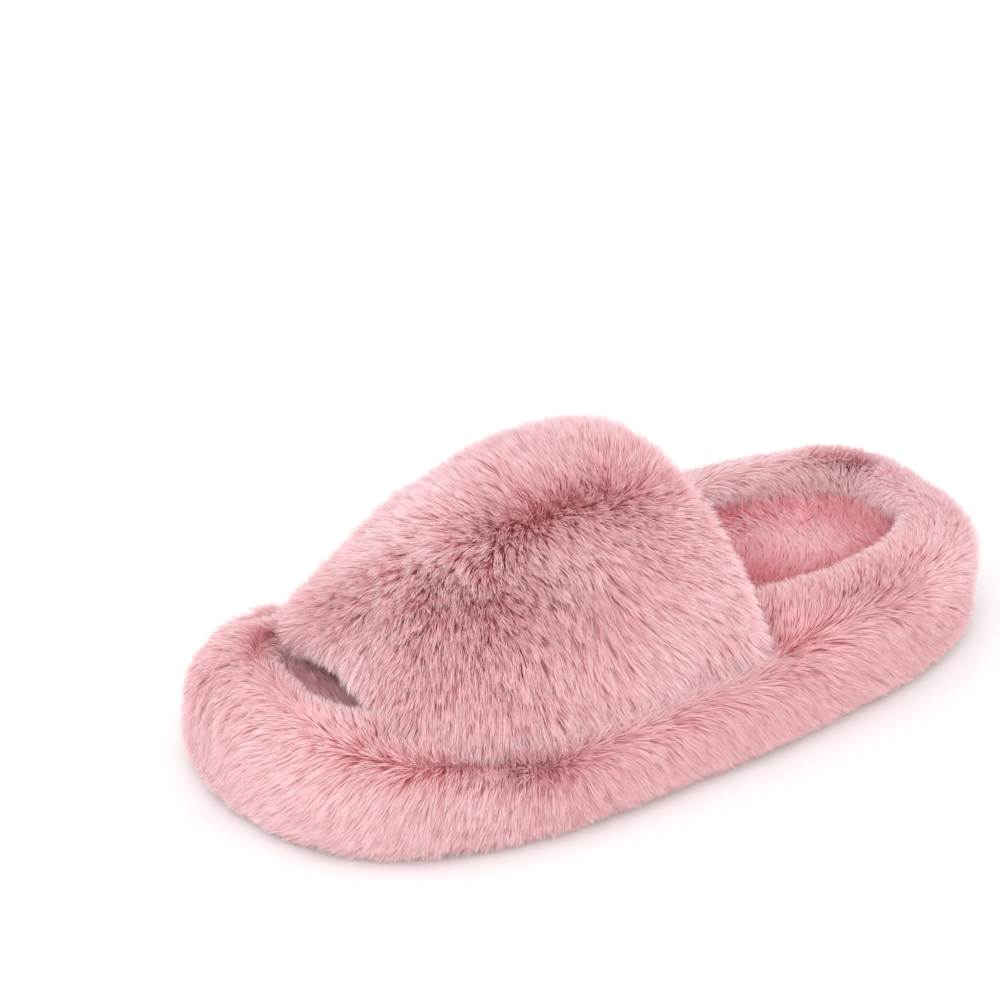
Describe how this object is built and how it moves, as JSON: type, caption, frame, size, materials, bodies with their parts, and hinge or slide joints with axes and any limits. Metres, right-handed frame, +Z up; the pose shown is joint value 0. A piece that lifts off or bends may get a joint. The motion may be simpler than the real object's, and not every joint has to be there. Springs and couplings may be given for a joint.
{
  "type": "house slipper",
  "caption": "Open-toe slide slipper covered in long pink fake fur, with a padded roll round the plush footbed and a broad band over the foot.",
  "frame": {"origin": "on the floor under the middle of the slipper's overall box", "axes": "-Y towards the toe, +Y towards the heel, +X towards the outer side of the left foot, +Z up"},
  "size_m": [0.1302, 0.28, 0.1059],
  "materials": {
    "rose_fur": "long soft fake fur, dusty rose, paler at the tips",
    "rose_plush": "short soft plush, dusty rose",
    "white_foam": "matt closed-cell foam",
    "grey_sponge": "matt open-cell sponge",
    "taupe_rubber": "matt soft rubber"
  },
  "bodies": {
    "root": {"outsole": "taupe_rubber", "midsole": "white_foam", "side_wrap": "rose_fur", "rim_foam": "grey_sponge", "rim_cover": "rose_fur", "footbed_foam": "grey_sponge", "sock_liner": "rose_plush", "band_fur": "rose_fur", "band_sponge": "grey_sponge", "band_lining": "rose_plush"}
  },
  "joints": []
}
